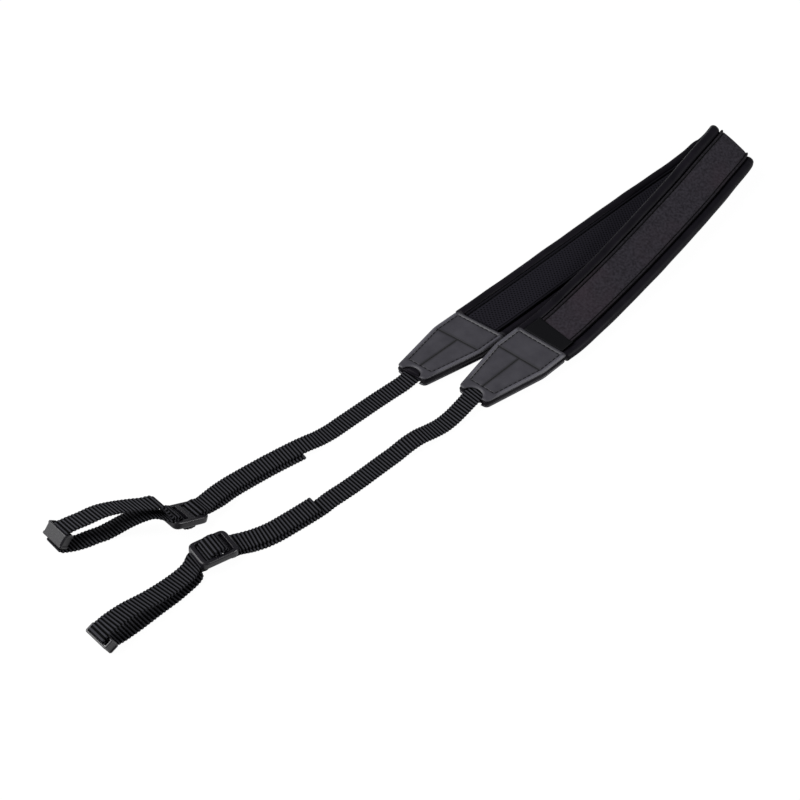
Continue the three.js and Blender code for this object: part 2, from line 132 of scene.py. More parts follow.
# Polyester jersey laminated to foam: smooth, soft, a little light along its grazing edges
def jerseyOnFoam():
    look = {"low": "#0a090d", "high": "#100e13", "loop": 0.5, "cloud": 9}
    material, tree, shader = newFinish("jerseyOnFoam", Roughness=0.5, Specular_IOR_Level=0.05)
    place = addNode(tree, "TexCoord").outputs["Object"]
    cloud = addNode(tree, "TexNoise", {"Vector": place, "Scale": perMetre(look["cloud"]), "Detail": 3})
    tone = addNode(tree, "ValToRGB", {"Fac": cloud.outputs["Fac"]},
                   [(0.3, look["low"]), (0.7, look["high"])])
    loops = addNode(tree, "TexNoise", {"Vector": place, "Scale": perMetre(look["loop"]), "Detail": 2})
    bump = addNode(tree, "Bump", {"Height": loops.outputs["Fac"], "Distance": 0.05 * mm, "Strength": 0.5})
    setSockets(tree, shader, {"Base Color": tone.outputs["Color"], "Normal": bump.outputs["Normal"]})
    return material


# Painted shade beside a panel's piped edge: black in the seam groove and at the rim beside the roll; a little
# darker on the piping, its own darker cloth
def pipedShade(tree, colour):
    look = {"from": 7.5, "to": 10.5}    # millimetres from the panel's middle
    lay = addNode(tree, "Attribute", attribute_name="lay").outputs["Vector"]
    across = addNode(tree, "SeparateXYZ", {"Vector": lay}).outputs["X"]
    aside = addNode(tree, "Math", {0: across}, operation="ABSOLUTE")
    share = addNode(tree, "MapRange", {"Value": aside.outputs[0], "From Min": look["from"],
                                        "From Max": look["to"]})
    shade = addNode(tree, "ValToRGB", {"Fac": share.outputs["Result"]},
                    [(0.3, "#ffffff"), (0.38, "#202020"), (0.5, "#202020"), (0.56, "#d0d0d0"),
                     (0.86, "#d0d0d0"), (0.94, "#101010")])
    return addNode(tree, "MixRGB", {"Fac": 1, "Color1": colour, "Color2": shade.outputs["Color"]},
                   blend_type="MULTIPLY").outputs["Color"]


# Brushed polyester panel cloth: matt charcoal with a faint warm mottle, short nap
def brushedPolyester():
    look = {"low": "#171519", "high": "#252328", "warm": "#2a2026", "nap": 0.6, "fleck": 1.3, "blush": 30}
    material, tree, shader = newFinish("brushedPolyester", Roughness=0.8, Specular_IOR_Level=0.06)
    place = addNode(tree, "TexCoord").outputs["Object"]
    fleck = addNode(tree, "TexNoise", {"Vector": place, "Scale": perMetre(look["fleck"]), "Detail": 4})
    tone = addNode(tree, "ValToRGB", {"Fac": fleck.outputs["Fac"]},
                   [(0.36, look["low"]), (0.64, look["high"])])
    blush = addNode(tree, "TexNoise", {"Vector": place, "Scale": perMetre(look["blush"]), "Detail": 2})
    share = addNode(tree, "MapRange",
                    {"Value": blush.outputs["Fac"], "From Min": 0.45, "From Max": 0.75, "To Max": 0.4})
    warmed = addNode(tree, "MixRGB", {"Fac": share.outputs["Result"], "Color1": tone.outputs["Color"],
                                                "Color2": linear(look["warm"])})
    shaded = pipedShade(tree, warmed.outputs["Color"])
    nap = addNode(tree, "TexNoise", {"Vector": place, "Scale": perMetre(look["nap"]), "Detail": 3})
    bump = addNode(tree, "Bump", {"Height": nap.outputs["Fac"], "Distance": 0.08 * mm, "Strength": 0.6})
    setSockets(tree, shader, {"Base Color": shaded, "Normal": bump.outputs["Normal"]})
    return material


# Knitted polyester spacer mesh: eyes in slanting rows between knitted ribs, darkened by their depth as
# painted shade
def knittedSpacer():
    look = {"eye": "#020203", "rib": "#16151a", "yarn": 0.35}
    material, tree, shader = newFinish("knittedSpacer", Roughness=0.8, Specular_IOR_Level=0.02)
    lay = addNode(tree, "Attribute", attribute_name="lay").outputs["Vector"]
    eye = addNode(tree, "SeparateXYZ", {"Vector": lay}).outputs["Z"]
    # deeper in an eye, darker: painted shade
    tone = addNode(tree, "ValToRGB", {"Fac": eye}, [(0.15, look["eye"]), (0.75, look["rib"])])
    shaded = pipedShade(tree, tone.outputs["Color"])
    place = addNode(tree, "TexCoord").outputs["Object"]
    yarn = addNode(tree, "TexNoise", {"Vector": place, "Scale": perMetre(look["yarn"]), "Detail": 2})
    bump = addNode(tree, "Bump", {"Height": yarn.outputs["Fac"], "Distance": 0.08 * mm, "Strength": 0.6})
    setSockets(tree, shader, {"Base Color": shaded, "Normal": bump.outputs["Normal"]})
    return material


# Polyurethane-coated split leather, embossed: satin grey-black, fine pebble grain, with a painted highlight
# along its rolled rim
def coatedLeather():
    look = {"low": "#28272c", "high": "#2f2e33", "rim": "#46454c", "sewn": "#020203",
            "pebble": 0.8, "cloud": 7}
    material, tree, shader = newFinish("coatedLeather", Specular_IOR_Level=0.28)
    place = addNode(tree, "TexCoord").outputs["Object"]
    cloud = addNode(tree, "TexNoise", {"Vector": place, "Scale": perMetre(look["cloud"]), "Detail": 4})
    tone = addNode(tree, "ValToRGB", {"Fac": cloud.outputs["Fac"]},
                   [(0.3, look["low"]), (0.7, look["high"])])
    lay = addNode(tree, "Attribute", attribute_name="lay").outputs["Vector"]
    parts = addNode(tree, "SeparateXYZ", {"Vector": lay}).outputs
    # the rolled rim is mixed towards the paler rim colour: a painted highlight
    rimBand = addNode(tree, "MixRGB", {"Fac": parts["Z"], "Color1": tone.outputs["Color"],
                                              "Color2": linear(look["rim"])})
    # seams and raw edges mixed towards near black: painted shade
    seamShaded = addNode(tree, "MixRGB", {"Fac": parts["X"], "Color1": rimBand.outputs["Color"],
                                                "Color2": linear(look["sewn"])})
    pebble = addNode(tree, "TexVoronoi", {"Vector": place, "Scale": perMetre(look["pebble"])},
                     feature="SMOOTH_F1")
    bump = addNode(tree, "Bump",
                   {"Height": pebble.outputs["Distance"], "Distance": 0.05 * mm, "Strength": 0.12})
    shine = addNode(tree, "MapRange",
                    {"Value": cloud.outputs["Fac"], "To Min": 0.44, "To Max": 0.54})
    matt = addNode(tree, "Math", {0: shine.outputs["Result"], 1: parts["X"]}, operation="MAXIMUM")
    setSockets(tree, shader, {"Base Color": seamShaded.outputs["Color"], "Roughness": matt.outputs[0],
                              "Normal": bump.outputs["Normal"]})
    return material


# Woven polyester grosgrain webbing: a painted highlight on each weft rib's crest and painted shade between
# them, warp threads along it
def grosgrainPolyester():
    look = {"valleyShade": "#010101", "crest": "#2d2d31", "warp": 0.5}   # real warp is 0.3 mm, coarser so it shows
    material, tree, shader = newFinish("grosgrainPolyester", Roughness=0.6, Specular_IOR_Level=0.02)
    lay = addNode(tree, "Attribute", attribute_name="lay").outputs["Vector"]
    parts = addNode(tree, "SeparateXYZ", {"Vector": lay}).outputs
    # crest share: painted highlight on the crests, painted shade in the valleys
    tone = addNode(tree, "ValToRGB", {"Fac": parts["Z"]},
                   [(0.5, look["valleyShade"]), (0.97, look["crest"])])
    warp = addNode(tree, "Math", {0: parts["X"], 1: 2 * math.pi / look["warp"]}, operation="MULTIPLY")
    threads = addNode(tree, "Math", {0: warp.outputs[0]}, operation="SINE")
    bump = addNode(tree, "Bump", {"Height": threads.outputs[0], "Distance": 0.04 * mm, "Strength": 0.6})
    setSockets(tree, shader, {"Base Color": tone.outputs["Color"], "Normal": bump.outputs["Normal"]})
    return material


# Injection-moulded acetal: satin dark grey with a fine spark-eroded texture
def mouldedAcetal():
    look = {"low": "#0f0e12", "high": "#141317", "spark": 0.35, "cloud": 5}
    material, tree, shader = newFinish("mouldedAcetal", Roughness=0.34, Specular_IOR_Level=0.28, IOR=1.48)
    place = addNode(tree, "TexCoord").outputs["Object"]
    cloud = addNode(tree, "TexNoise", {"Vector": place, "Scale": perMetre(look["cloud"]), "Detail": 3})
    tone = addNode(tree, "ValToRGB", {"Fac": cloud.outputs["Fac"]},
                   [(0.3, look["low"]), (0.7, look["high"])])
    spark = addNode(tree, "TexNoise", {"Vector": place, "Scale": perMetre(look["spark"]), "Detail": 2})
    bump = addNode(tree, "Bump", {"Height": spark.outputs["Fac"], "Distance": 0.02 * mm, "Strength": 0.12})
    setSockets(tree, shader, {"Base Color": tone.outputs["Color"], "Normal": bump.outputs["Normal"]})
    return material


# Woven satin label tape: black, faint weft lines across it
def wovenTape():
    look = {"low": "#050507", "high": "#0a0a0c", "weft": 0.6, "wave": 0.31}    # wave: its repeat at scale 1
    material, tree, shader = newFinish("wovenTape", Roughness=0.6, Specular_IOR_Level=0.06)
    lay = addNode(tree, "Attribute", attribute_name="lay").outputs["Vector"]
    weft = addNode(tree, "TexWave",
                   {"Vector": lay, "Scale": look["wave"] / look["weft"], "Distortion": 0.6},
                   bands_direction="Y")
    tone = addNode(tree, "ValToRGB", {"Fac": weft.outputs["Fac"]}, [(0.2, look["low"]), (0.8, look["high"])])
    bump = addNode(tree, "Bump", {"Height": weft.outputs["Fac"], "Distance": 0.05 * mm, "Strength": 0.5})
    setSockets(tree, shader, {"Base Color": tone.outputs["Color"], "Normal": bump.outputs["Normal"]})
    return material


# Bonded polyester sewing thread: black, twisted, slightly waxy
def bondedThread():
    look = {"low": "#030304", "high": "#0a0a0c", "twist": 0.45}
    material, tree, shader = newFinish("bondedThread", Roughness=0.6, Specular_IOR_Level=0.06)
    place = addNode(tree, "TexCoord").outputs["Object"]
    twist = addNode(tree, "TexNoise", {"Vector": place, "Scale": perMetre(look["twist"]), "Detail": 1})
    tone = addNode(tree, "ValToRGB", {"Fac": twist.outputs["Fac"]}, [(0.3, look["low"]), (0.7, look["high"])])
    setSockets(tree, shader, {"Base Color": tone.outputs["Color"]})
    return material


finishes = {
    "neoprene": jerseyOnFoam(),
    "panel_cloth": brushedPolyester(),
    "spacer_mesh": knittedSpacer(),
    "grain_leather": coatedLeather(),
    "ribbed_webbing": grosgrainPolyester(),
    "moulded_plastic": mouldedAcetal(),
    "woven_label": wovenTape(),
}
sewingThread = bondedThread()
print("finishes mixed:", ", ".join(sorted(finishes)))


# Bands: a smooth line through listed rows, and sections lofted along it

def addPiece(name, points, faces, slot, finish=None, lay=None):
    mesh = bpy.data.meshes.new(name)
    mesh.from_pydata(np.asarray(points).tolist(), [], faces)
    mesh.shade_smooth()
    if lay is not None:
        mesh.attributes.new("lay", "FLOAT_VECTOR", "POINT").data.foreach_set(
            "vector", np.asarray(lay, dtype=np.float32).ravel())
    mesh.materials.append(finish or finishes[slot])
    piece = bpy.data.objects.new(name, mesh)
    bpy.context.collection.objects.link(piece)
    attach(piece, "root")
    return piece


def acrossBand(turn, lean):
    swing, dip = np.radians(turn), np.radians(lean)
    level = np.cos(dip)
    return np.stack([np.sin(swing) * level, -np.cos(swing) * level, -np.sin(dip)], axis=-1)


def smoothLine(rows, steps):
    rows = np.array(rows, dtype=float)      # columns x, y, z, turn, lean, and how hard a strap is pressed
    knots = rows[:, :3]
    knots = np.vstack([2 * knots[0] - knots[1], knots, 2 * knots[-1] - knots[-2]])
    reach = np.sqrt(np.linalg.norm(np.diff(knots, axis=0), axis=1))
    t = (np.arange(steps) / steps)[:, None]
    stretches = []
    for i in range(len(rows) - 1):
        a, b, c, d = knots[i:i + 4]
        ab, bc, cd = reach[i:i + 3]
        leave = ((b - a) / ab - (c - a) / (ab + bc) + (c - b) / bc) * bc
        arrive = ((c - b) / bc - (d - b) / (bc + cd) + (d - c) / cd) * bc
        square, cube = 3 * (c - b) - 2 * leave - arrive, 2 * (b - c) + leave + arrive
        place = b + leave * t + square * t**2 + cube * t**3
        tilt = rows[i, 3:] + (rows[i + 1, 3:] - rows[i, 3:]) * t
        stretches.append(np.hstack([place, tilt]))
    return np.vstack([*stretches, rows[-1:]])


def runLengths(line):
    return np.append(0, np.cumsum(np.linalg.norm(np.diff(line[:, :3], axis=0), axis=1)))


def atDistances(line, distances):
    run = runLengths(line)
    return np.stack([np.interp(distances, run, column) for column in line.T], axis=1)


def framesOn(line):
    point = line[:, :3]
    along = np.gradient(point, axis=0)
    across = acrossBand(line[:, 3], line[:, 4])
    face = np.cross(along, across)
    return point, across, face / np.linalg.norm(face, axis=1, keepdims=True)


def onBand(frames, sections):
    point, across, face = (part[:, None, :] for part in frames)
    return point + across * sections[..., :1] + face * sections[..., 1:2]


def loftFaces(rings, count):
    side = np.arange(count)
    start = np.arange(rings - 1)[:, None] * count
    nextSide = np.roll(side, -1)
    quads = [start + side, start + nextSide, start + nextSide + count, start + side + count]
    quads = np.stack(quads, axis=-1)
    last = (rings - 1) * count
    return quads.reshape(-1, 4).tolist() + [side[::-1].tolist(), (side + last).tolist()]


def mirrored(half):
    half = [tuple(p) for p in half]
    flipped = [(-a, f) for a, f in reversed(half)]
    return np.array([(0, half[0][1]), *half, (0, half[-1][1]), *flipped])


def resampled(points, count):
    points = np.array(points, dtype=float)
    return atDistances(points, np.linspace(0, runLengths(points)[-1], count))


def ripple(distances, seed, lengths):
    draw = random.Random(seed)
    return sum(np.sin(distances * 2 * math.pi / length + draw.uniform(0, 2 * math.pi)) for length in lengths)


# Padded middle, folded in half

pad = {
    "gap": 0.3, "coreHalf": 0.9, "foldRadius": 5.4, "foldStep": 30, "steps": 14, "foldedRoll": 0.8,
    "rollCentre": 13.6, "rollOut": 2.9, "rollIn": 2.75, "rollHeight": 2.6, "rollSweep": 150, "rollStep": 15,
    "shoulder": 0.6, "recess": 10.7, "recessEase": 0.2, "foldSpread": 0.5,
}
swelling = {"height": 0.07, "sideways": 0.5, "lengths": (61, 37, 23), "seed": 3}
padEnds = {
    "rear": {"tip": (13.6, 6, 3.45), "inner": (78, 4.8, 3.45), "lean": 0, "face": -1},
    "front": {"tip": (24.4, -26.6, 3.3), "inner": (88, -27.7, 6), "lean": 4.6, "face": 1},
}
rearHalf = [(78, 4.8, 3.45, 0, 0), (110, 4.8, 3.05, 0, 0), (180, 4.8, 2.95, 0, 0), (222, 4.3, 2.95, 0, 0),
            (240, 3.8, 3, 0, 0), (251.5, 3.5, 3.9, 0, 1), (260.6, 3.5, 5.4, -1, 2)]
frontHalf = [(261.6, -5.2, 16.2, 4, 25), (239, -9.3, 15.1, 9, 21.5), (216, -13.3, 13.7, 8, 18),
             (192, -16.8, 12.2, 7, 14.7), (146, -22.6, 9.1, 6, 9.7), (112, -26, 7.2, 4, 6.8),
             (88, -27.7, 6, 1, 4.6)]
patch = {"tipWidth": 17, "topWidth": 30, "taper": 34, "length": 51, "corner": 2.2, "mouthWidth": 10,
         "mouthDepth": 4, "thickness": 1, "skew": 9}
tongue = {"outer": 2.1, "inner": 1, "start": 0.6, "rows": (8, 16), "sideGap": 0.2, "round": 0.9, "ease": 0.3,
          "lip": 0.6}
channel = {"width": 10.8, "floor": 0.4, "length": 24, "endRun": 0.2, "sliver": 0.02}


def endFrame(end):
    tip = np.array(end["tip"], dtype=float)
    inward = np.array(end["inner"]) - tip
    inward = inward / np.linalg.norm(inward)
    turn = math.degrees(math.atan2(inward[1], inward[0])) + patch["skew"]
    across = acrossBand(turn, end["lean"])
    face = np.cross(-end["face"] * inward, across)
    return {"tip": tip, "inward": inward, "turn": turn, "lean": end["lean"],
            "face": face / np.linalg.norm(face), "across": across / math.cos(math.radians(patch["skew"]))}


ends = {name: endFrame(end) for name, end in padEnds.items()}
bodyStart = patch["length"] + pad["gap"]


def onEnd(end, inset, across, out):
    inset, across, out = (np.asarray(v, dtype=float)[..., None] for v in (inset, across, out))
    return end["tip"] + end["inward"] * inset + end["across"] * across + end["face"] * out


def endRow(name, inset):
    end = ends[name]
    return (*onEnd(end, inset, 0, 0), end["turn"], end["lean"])


def foldRows():
    start, stop = np.array(rearHalf[-1], dtype=float), np.array(frontHalf[0], dtype=float)
    rows = []
    for angle in range(pad["foldStep"] - 90, 90, pad["foldStep"]):
        row = start + (stop - start) * (angle + 90) / 180
        row[0] += pad["foldRadius"] * math.cos(math.radians(angle))
        row[2] = start[2] + pad["foldRadius"] * (1 + math.sin(math.radians(angle)))
        rows.append(row)
    return rows


padRows = [endRow("rear", bodyStart), *rearHalf, *foldRows(), *frontHalf, endRow("front", bodyStart)]
padLine = smoothLine(padRows, pad["steps"])


def patchHalfWidth(inset):
    return np.interp(inset, (0, patch["taper"]), (patch["tipWidth"] / 2, patch["topWidth"] / 2))


def rolledHalf():
    roll = []
    for angle in range(-pad["rollSweep"], pad["rollSweep"] + 1, pad["rollStep"]):
        c, s = math.cos(math.radians(angle)), math.sin(math.radians(angle))
        reach = pad["rollOut"] if c > 0 else pad["rollIn"]
        fullness = 1 if c > 0 else pad["shoulder"]
        roll.append((pad["rollCentre"] + reach * c, pad["rollHeight"] * math.copysign(abs(s) ** fullness, s)))
    core, recess, ease = pad["coreHalf"], pad["recess"], pad["recessEase"]
    return [(recess, -core), (recess + ease, -core - ease), *roll,
            (recess + ease, core + ease), (recess, core)]


def tongueHalf(inset, count):
    side = patchHalfWidth(inset) - tongue["sideGap"]
    wall, lip, ease, bend = channel["width"] / 2, tongue["lip"], tongue["ease"], tongue["round"]
    low, high = -tongue["inner"], tongue["outer"]
    floor = channel["floor"] if inset < channel["length"] else high - channel["sliver"]
    return resampled([(wall, low), (wall + lip, low), (side - bend, low), (side - ease, low + ease),
                      (side, low + bend), (side, high - bend), (side - ease, high - ease),
                      (side - bend, high), (wall + channel["sliver"], high), (wall, floor)], count)


def rollSquash(run):
    # the rolls are pulled flat where the pad folds
    fold = slice((len(rearHalf) - 1) * pad["steps"], (len(rearHalf) + len(foldRows()) + 1) * pad["steps"])
    middle, reach = run[fold].mean(), np.ptp(run[fold])
    return 1 - (1 - pad["foldedRoll"]) * np.exp(-((run - middle) / (pad["foldSpread"] * reach)) ** 4)


def buildPadBody():
    body = mirrored(rolledHalf())
    count = len(rolledHalf())
    insets = [tongue["start"], *tongue["rows"], channel["length"] - channel["endRun"], channel["length"],
              patch["taper"], patch["length"]]
    rearLine = np.array([endRow("rear", inset) for inset in insets])
    frontLine = np.array([endRow("front", inset) for inset in reversed(insets)])
    bands = []
    for name, line, order in (("rear", rearLine, insets), ("front", frontLine, insets[::-1])):
        end = ends[name]
        frames = line[:, :3], np.tile(end["across"], (len(line), 1)), np.tile(end["face"], (len(line), 1))
        bands.append(onBand(frames, np.array([mirrored(tongueHalf(inset, count)) for inset in order])))
    run = runLengths(padLine)
    sections = np.repeat(body[None], len(padLine), axis=0)
    swell = swelling["height"] * ripple(run, swelling["seed"], swelling["lengths"])
    edge = np.abs(body[:, 0]) > pad["recess"] + pad["recessEase"] / 2
    sections[:, edge, 1] *= ((1 + swell / pad["rollHeight"]) * rollSquash(run))[:, None]
    sections[:, edge, 0] += (np.sign(body[edge, 0]) * swelling["sideways"]) * swell[:, None]
    bands.insert(1, onBand(framesOn(padLine), sections))
    corners = np.concatenate(bands)
    faces = loftFaces(len(corners), len(body))
    return addPiece("pad_body", toFrame(corners.reshape(-1, 3)), faces, "neoprene")


padBody = buildPadBody()
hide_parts("pad_core")
print("pad body:", len(padBody.data.polygons), "faces")


# Cloth panel on the outer face and mesh panel on the inner one, each with a piped ridge beside a seam groove

panel = {"edge": 10.4, "floor": 1.2, "top": 2.4, "crown": 0.3, "ridgeAt": 9.72, "ridgeHalf": 0.66,
         "ridgeHeight": 0.55, "ridgeSteps": 9, "grooveAt": 8.82, "grooveHalf": 0.34, "grooveDepth": 0.32,
         "grooveSteps": 7, "fieldHalf": 8.4, "underRise": 0.6, "underInset": 0.2, "underSides": 4}
clothField = {"spacing": 1.6, "steps": 10, "height": 0.03, "lengths": (47, 29), "seed": 5}
eyes = {"along": 2, "across": 1.4, "depth": 0.34, "spacing": 0.4, "step": 0.35, "margin": 0.3, "fade": 0.5,
        "lip": 0.05, "slope": 0.7}


def panelHeight(across):
    a = np.abs(across)
    crown = panel["top"] + panel["crown"] * (1 - np.minimum(a / panel["fieldHalf"], 1) ** 2)
    ridge = np.sqrt(np.clip(1 - ((a - panel["ridgeAt"]) / panel["ridgeHalf"]) ** 2, 0, 1))
    groove = panel["grooveDepth"] * np.exp(-((a - panel["grooveAt"]) / panel["grooveHalf"]) ** 2)
    return crown + panel["ridgeHeight"] * ridge - groove


def panelSpread(field):
    rim = np.linspace(-1, 1, panel["ridgeSteps"]) * panel["ridgeHalf"] + panel["ridgeAt"]
    middle = panel["grooveAt"]
    seam = np.linspace(-1, 1, panel["grooveSteps"]) * (panel["fieldHalf"] - middle) + middle
    half = np.unique(np.round(np.concatenate([field, seam, rim]), 3))
    return np.concatenate([-half[half > 0][::-1], half])


def panelLine(spacing):
    trimmed = runLengths(padLine)[-1] - 2 * pad["gap"]
    return atDistances(padLine, pad["gap"] + np.linspace(0, trimmed, int(trimmed / spacing) + 1))


def buildPanel(name, slot, side, spacing, field, relief):
    line = panelLine(spacing)
    run = runLengths(line)
    spread = panelSpread(field)
    depth = relief(run[:, None], spread[None])
    height = panelHeight(spread)[None] + depth
    top = np.stack([np.broadcast_to(spread, height.shape), height], axis=-1)
    edge, low, inset = panel["edge"], panel["floor"], panel["underInset"]
    rise = low + panel["underRise"]
    below = [(edge, rise), (edge - inset, low), (inset - edge, low), (-edge, rise)]
    below = np.broadcast_to(below, (len(line), panel["underSides"], 2))
    sections = np.concatenate([top, below], axis=1) * (1, side)
    count = sections.shape[1]
    sections = sections[:, ::-1] if side > 0 else sections
    corners = onBand(framesOn(line), sections)
    knit = np.zeros(corners.shape)
    knit[..., 0] = sections[..., 0]
    knit[..., 1] = run[:, None]
    depth = np.concatenate([depth, np.zeros((len(line), panel["underSides"]))], axis=1)
    # eye depth, which the spacer mesh's finish turns into painted shade
    knit[..., 2] = 1 + (depth[:, ::-1] if side > 0 else depth) / eyes["depth"]
    piece = addPiece(name, toFrame(corners.reshape(-1, 3)), loftFaces(len(line), count), slot,
                     lay=knit.reshape(-1, 3))
    return piece


def nap(run, across):
    swell = clothField["height"] * ripple(run, clothField["seed"], clothField["lengths"])
    return swell * np.cos(across / panel["fieldHalf"])


def eyelets(run, across):
    wave = np.cos(2 * math.pi * run / eyes["along"]) * np.cos(math.pi * across / eyes["across"])
    inside = np.clip((panel["fieldHalf"] - eyes["margin"] - np.abs(across)) / eyes["fade"], 0, 1)
    return -eyes["depth"] * np.clip((wave - eyes["lip"]) / eyes["slope"], 0, 1) * inside


plainField = np.linspace(0, panel["fieldHalf"], clothField["steps"])
outerPanel = buildPanel("outer_cloth", "panel_cloth", 1, clothField["spacing"], plainField, nap)
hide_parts("outer_panel")
meshField = np.arange(0, panel["fieldHalf"], eyes["step"])
innerMesh = buildPanel("inner_mesh", "spacer_mesh", -1, eyes["spacing"], meshField, eyelets)
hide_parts("mesh_panel")
print("panels:", len(outerPanel.data.polygons), "and", len(innerMesh.data.polygons), "faces")


# Stitches: short lozenges of thread lying along a path

lozenge = {"rings": [(-0.5, 0.15), (-0.36, 0.8), (0, 1), (0.36, 0.8), (0.5, 0.15)], "sides": 6, "ahead": 0.1}


def stitchMesh(centres, headings, normals, size):
    length, width, height = size
    rings, sides = lozenge["rings"], lozenge["sides"]
    points, faces = [], []
    for centre, heading, normal in zip(centres, headings, normals):
        side = np.cross(normal, heading)
        first = len(points)
        for place, girth in rings:
            for k in range(sides):
                turned = 2 * math.pi * k / sides
                points.append(centre + heading * length * place
                              + side * (width / 2 * girth * math.cos(turned))
                              + normal * (height * girth * math.sin(turned)))
        faces += [[first + i for i in face] for face in loftFaces(len(rings), sides)]
    return points, faces


def alongPath(path, pitch):
    path = np.asarray(path, dtype=float)
    full = runLengths(path)[-1]
    count = max(int(full / pitch), 1)
    at = (np.arange(count) + 0.5) * full / count
    place = atDistances(path, at)
    ahead = atDistances(path, at + lozenge["ahead"]) - place
    return place, ahead / np.linalg.norm(ahead, axis=1, keepdims=True)


seamStitch = {"pitch": 3, "size": (2.1, 0.42, 0.2), "sampling": 1}


def buildPanelSeams(name, side):
    line = panelLine(seamStitch["sampling"])
    point, across, face = framesOn(line)
    points, faces = [], []
    for edge in (-1, 1):
        lift = panelHeight(np.array([panel["grooveAt"]])) * side
        path = point + across * panel["grooveAt"] * edge + face * lift
        centres, headings = alongPath(path, seamStitch["pitch"])
        share, stations = np.linspace(0, 1, len(centres)), np.linspace(0, 1, len(face))
        normals = np.stack([np.interp(share, stations, column) for column in (face * side).T], axis=1)
        more, moreFaces = stitchMesh(centres, headings, normals, seamStitch["size"])
        faces += [[i + len(points) for i in f] for f in moreFaces]
        points += more
    addPiece(name, toFrame(points), faces, "ribbed_webbing", sewingThread)


buildPanelSeams("outer_seam_stitches", 1)
buildPanelSeams("inner_seam_stitches", -1)
print("panel seams sewn")


# Leather ends: rolled rim, sewn border, and a pieced field with a cross seam and a middle seam

# Leather shape and its painted marks: a painted highlight along the rolled rim, painted shade in the seams
# and along the edges
leather = {"edgeRound": 1.2, "top": 0.55, "under": 0.74, "rimHeight": 0.45, "rimAt": 1.35, "rimSpread": 0.75,
           "rimFade": (2, 6, 0.15), "highlightFade": (5, 6), "highlightShare": 0.8, "border": 2.6, "borderShade": 0.4,
           "tipLine": 6.8, "crossSeam": 33.5, "grooveDepth": 0.22, "grooveHalf": 0.34, "sewnHalf": 0.72,
           "puff": 0.22, "puffRun": 2.4, "lainOn": 0.45, "edgeShadeRun": 1.4}
leatherGrid = {"outline": 0.45, "cornerSteps": 7, "archSteps": 25, "ringKeep": 0.97, "seam": 0.6,
               "field": 0.85, "fieldStart": 0.5, "seamClear": 1.1, "edgeClear": 2.3, "same": 1e-5,
               "rings": (0.12, 0.3, 0.5, 0.8, 1.2, 1.65, 2.1),
               "besideSeam": (-0.75, -0.45, -0.2, 0, 0.2, 0.45, 0.75)}
leatherStitch = {"pitch": 2.7, "size": (1.9, 0.5, 0.24), "proud": 0.05}


def roundedCorner(before, corner, after, radius, steps):
    before, corner, after = (np.array(p, dtype=float) for p in (before, corner, after))
    start = corner + (before - corner) / np.linalg.norm(before - corner) * radius
    stop = corner + (after - corner) / np.linalg.norm(after - corner) * radius
    t = np.linspace(0, 1, steps)[:, None]
    return (1 - t) ** 2 * start + 2 * t * (1 - t) * corner + t**2 * stop


def leatherOutline():
    tip, top = patch["tipWidth"] / 2, patch["topWidth"] / 2
    mouth = patch["mouthWidth"] / 2
    corners = [(0, mouth), (0, tip), (patch["taper"], top), (patch["length"], top), (patch["length"], -top),
               (patch["taper"], -top), (0, -tip), (0, -mouth)]
    loop = [np.array([corners[0]], dtype=float)]
    for i in range(1, len(corners) - 1):
        loop.append(roundedCorner(*corners[i - 1:i + 2], patch["corner"], leatherGrid["cornerSteps"]))
    arch = np.radians(np.linspace(-90, 90, leatherGrid["archSteps"]))[:-1]
    loop.append(np.stack([patch["mouthDepth"] * np.cos(arch), mouth * np.sin(arch)], axis=1))
    loop = np.concatenate(loop)
    closed = np.vstack([loop, loop[:1]])
    full = runLengths(closed)[-1]
    return atDistances(closed, np.linspace(0, full, int(full / leatherGrid["outline"]) + 1)[:-1])


def distanceTo(points, path):
    a, b = path[:-1], path[1:]
    span = b - a
    rel = points[:, None, :] - a[None]
    t = np.clip((rel * span).sum(-1) / np.maximum((span**2).sum(-1), 1e-9), 0, 1)
    return np.linalg.norm(rel - t[..., None] * span, axis=-1).min(axis=1)


def borderPath():
    tipHalf = patchHalfWidth(leather["tipLine"]) - leather["border"]
    topHalf = patch["topWidth"] / 2 - leather["border"]
    end = patch["length"] - leather["border"]
    right = [(leather["tipLine"], tipHalf), (patch["taper"], topHalf), (end, topHalf)]
    left = [(inset, -across) for inset, across in reversed(right)]
    return np.array([*right, *left, right[0]])


def seamPaths():
    topHalf = patch["topWidth"] / 2 - leather["border"]
    seam = leather["crossSeam"]
    return [np.array([(seam, -topHalf), (seam, topHalf)]), np.array([(leather["tipLine"], 0), (seam, 0)])]


def leatherHeight(points, outline):
    edge = distanceTo(points, np.vstack([outline, outline[:1]]))
    border = distanceTo(points, borderPath())
    pieced = np.min([distanceTo(points, path) for path in seamPaths()], axis=0)
    seam = np.minimum(border, pieced)
    # painted shade along the sewn border and the pieced seams
    sewn = np.maximum(leather["borderShade"] * np.exp(-(border / leather["sewnHalf"]) ** 2),
                      np.exp(-(pieced / leather["sewnHalf"]) ** 2))
    rounded = np.minimum(edge / leather["edgeRound"], 1)
    fullness = np.sqrt(1 - (1 - rounded) ** 2)
    # band along the rolled rim: it raises the rim, and once faded it becomes the rim's painted highlight
    rimBand = np.exp(-((edge - leather["rimAt"]) / leather["rimSpread"]) ** 2)
    start, run, least = leather["rimFade"]
    rim = leather["rimHeight"] * rimBand
    rim *= rounded * np.clip((points[:, 0] - start) / run, least, 1)
    groove = leather["grooveDepth"] * np.exp(-(seam / leather["grooveHalf"]) ** 2)
    puff = leather["puff"] * (1 - np.exp(-(seam / leather["puffRun"]) ** 2)) * (edge > leather["border"])
    # the painted highlight stops short of the top edge and fades in away from the tip
    start, run = leather["highlightFade"]
    rimBand *= (points[:, 0] < patch["length"] - leather["border"]) * np.clip((points[:, 0] - start) / run, 0, 1)
    return leather["top"] * fullness + rim - groove + puff, leather["under"] * fullness, rimBand, sewn


